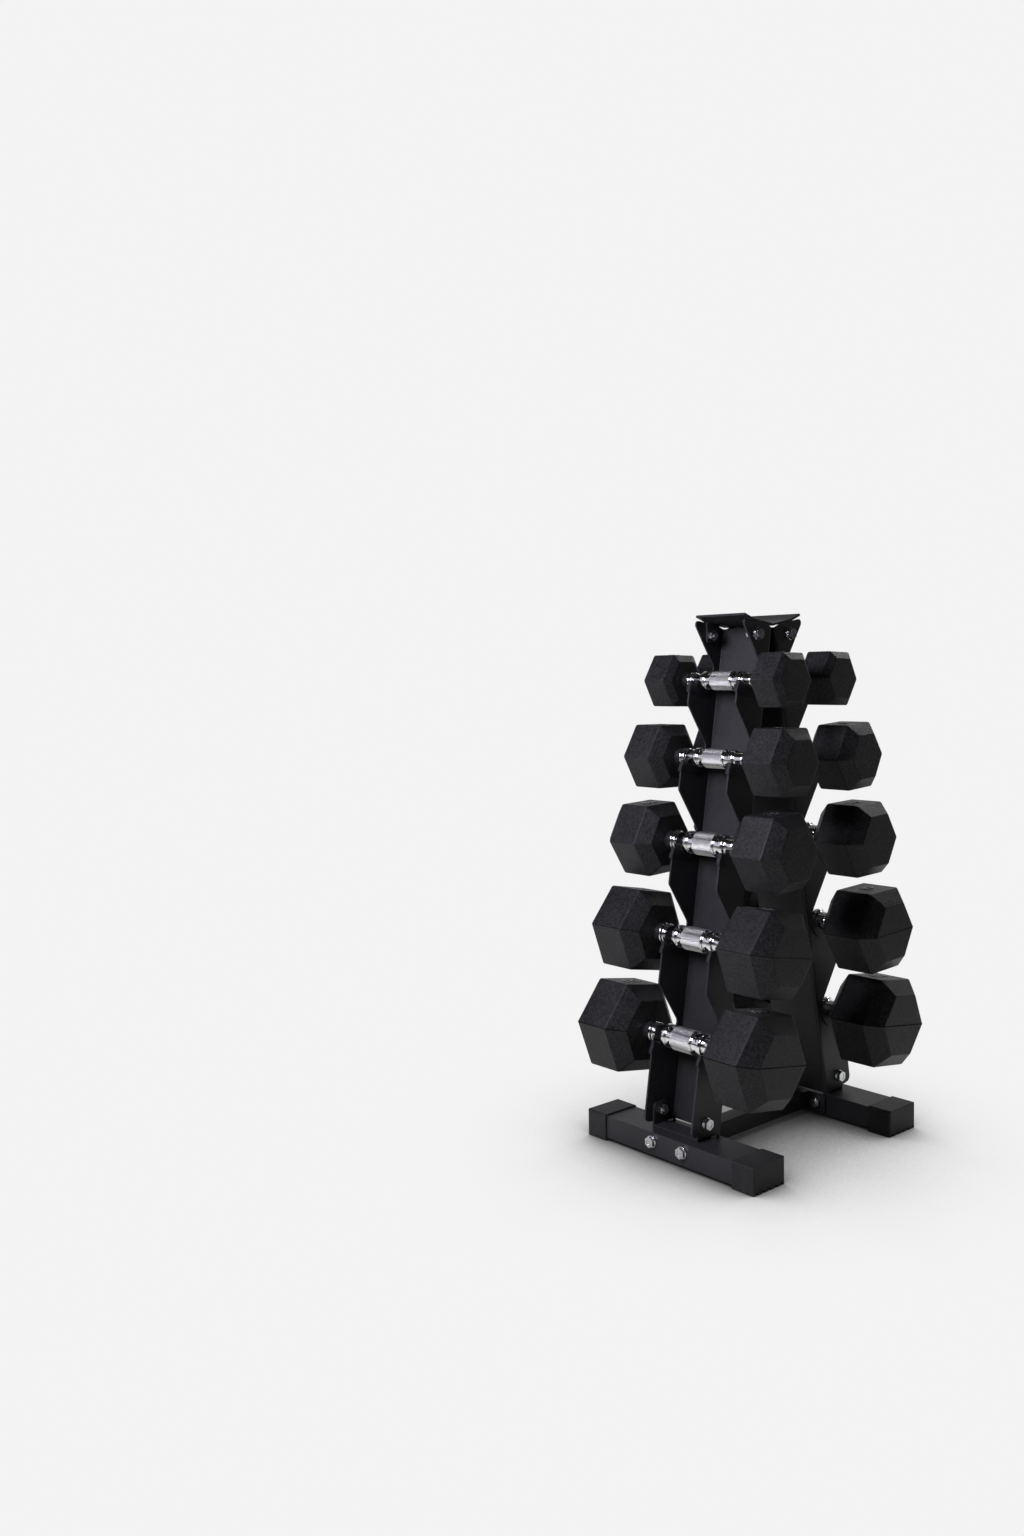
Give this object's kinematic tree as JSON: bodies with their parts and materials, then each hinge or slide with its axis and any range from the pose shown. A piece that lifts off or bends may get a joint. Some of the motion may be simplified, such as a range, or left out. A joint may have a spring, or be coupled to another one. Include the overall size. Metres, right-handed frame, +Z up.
{
  "type": "dumbbell rack",
  "caption": "Free-standing A-frame dumbbell rack: two folded uprights with hooked flanges hold pairs of hexagonal rubber dumbbells on both sides.",
  "frame": {"origin": "on the floor, under the middle of the rack", "axes": "X along the handles and feet, Y from the near side to the far side, Z up"},
  "size_m": [0.3128, 0.3926, 0.7075],
  "materials": {
    "coat": "satin black powder coat",
    "cap_plastic": "matte black",
    "liner": "matte black",
    "zinc": "bright zinc plate",
    "chrome": "polished, knurled grip",
    "head_rubber": "matte black, fine grain",
    "iron": "raw casting"
  },
  "bodies": {
    "frame": {"foot_tube_near": "coat", "foot_tube_far": "coat", "foot_cap_near_left": "cap_plastic", "foot_cap_near_right": "cap_plastic", "foot_cap_far_left": "cap_plastic", "foot_cap_far_right": "cap_plastic", "cross_beam": "coat", "beam_plate_near": "coat", "beam_plate_far": "coat", "base_bracket_near": "coat", "base_bracket_far": "coat", "upright_near": "coat", "upright_far": "coat", "top_bracket": "coat", "saddles_near_left": "liner", "saddles_near_right": "liner", "saddles_far_left": "liner", "saddles_far_right": "liner", "top_bolts": "zinc", "top_nuts": "zinc", "top_washers": "zinc", "base_bolts": "zinc", "base_nuts": "zinc", "base_washers": "zinc", "foot_bolts": "zinc", "foot_nuts": "zinc", "foot_washers": "zinc"},
    "dumbbell_near_1": {"handle_near_1": "chrome", "heads_near_1": "head_rubber", "cores_near_1": "iron"},
    "dumbbell_near_2": {"handle_near_2": "chrome", "heads_near_2": "head_rubber", "cores_near_2": "iron"},
    "dumbbell_near_3": {"handle_near_3": "chrome", "heads_near_3": "head_rubber", "cores_near_3": "iron"},
    "dumbbell_near_4": {"handle_near_4": "chrome", "heads_near_4": "head_rubber", "cores_near_4": "iron"},
    "dumbbell_near_5": {"handle_near_5": "chrome", "heads_near_5": "head_rubber", "cores_near_5": "iron"},
    "dumbbell_far_1": {"handle_far_1": "chrome", "heads_far_1": "head_rubber", "cores_far_1": "iron"},
    "dumbbell_far_2": {"handle_far_2": "chrome", "heads_far_2": "head_rubber", "cores_far_2": "iron"},
    "dumbbell_far_3": {"handle_far_3": "chrome", "heads_far_3": "head_rubber", "cores_far_3": "iron"},
    "dumbbell_far_4": {"handle_far_4": "chrome", "heads_far_4": "head_rubber", "cores_far_4": "iron"},
    "dumbbell_far_5": {"handle_far_5": "chrome", "heads_far_5": "head_rubber", "cores_far_5": "iron"}
  },
  "joints": [
    {"name": "lift_near_1", "type": "slide", "parent": "frame", "child": "dumbbell_near_1", "axis": [0, -0.6428, 0.766], "range_m": [0, 0.18]},
    {"name": "lift_near_2", "type": "slide", "parent": "frame", "child": "dumbbell_near_2", "axis": [0, -0.829, 0.5592], "range_m": [0, 0.18]},
    {"name": "lift_near_3", "type": "slide", "parent": "frame", "child": "dumbbell_near_3", "axis": [0, -0.9063, 0.4226], "range_m": [0, 0.18]},
    {"name": "lift_near_4", "type": "slide", "parent": "frame", "child": "dumbbell_near_4", "axis": [0, -0.9063, 0.4226], "range_m": [0, 0.18]},
    {"name": "lift_near_5", "type": "slide", "parent": "frame", "child": "dumbbell_near_5", "axis": [0, -0.9304, 0.3665], "range_m": [0, 0.18]},
    {"name": "lift_far_1", "type": "slide", "parent": "frame", "child": "dumbbell_far_1", "axis": [0, 0.6428, 0.766], "range_m": [0, 0.18]},
    {"name": "lift_far_2", "type": "slide", "parent": "frame", "child": "dumbbell_far_2", "axis": [0, 0.829, 0.5592], "range_m": [0, 0.18]},
    {"name": "lift_far_3", "type": "slide", "parent": "frame", "child": "dumbbell_far_3", "axis": [0, 0.9063, 0.4226], "range_m": [0, 0.18]},
    {"name": "lift_far_4", "type": "slide", "parent": "frame", "child": "dumbbell_far_4", "axis": [0, 0.9063, 0.4226], "range_m": [0, 0.18]},
    {"name": "lift_far_5", "type": "slide", "parent": "frame", "child": "dumbbell_far_5", "axis": [0, 0.9304, 0.3665], "range_m": [0, 0.18]}
  ]
}
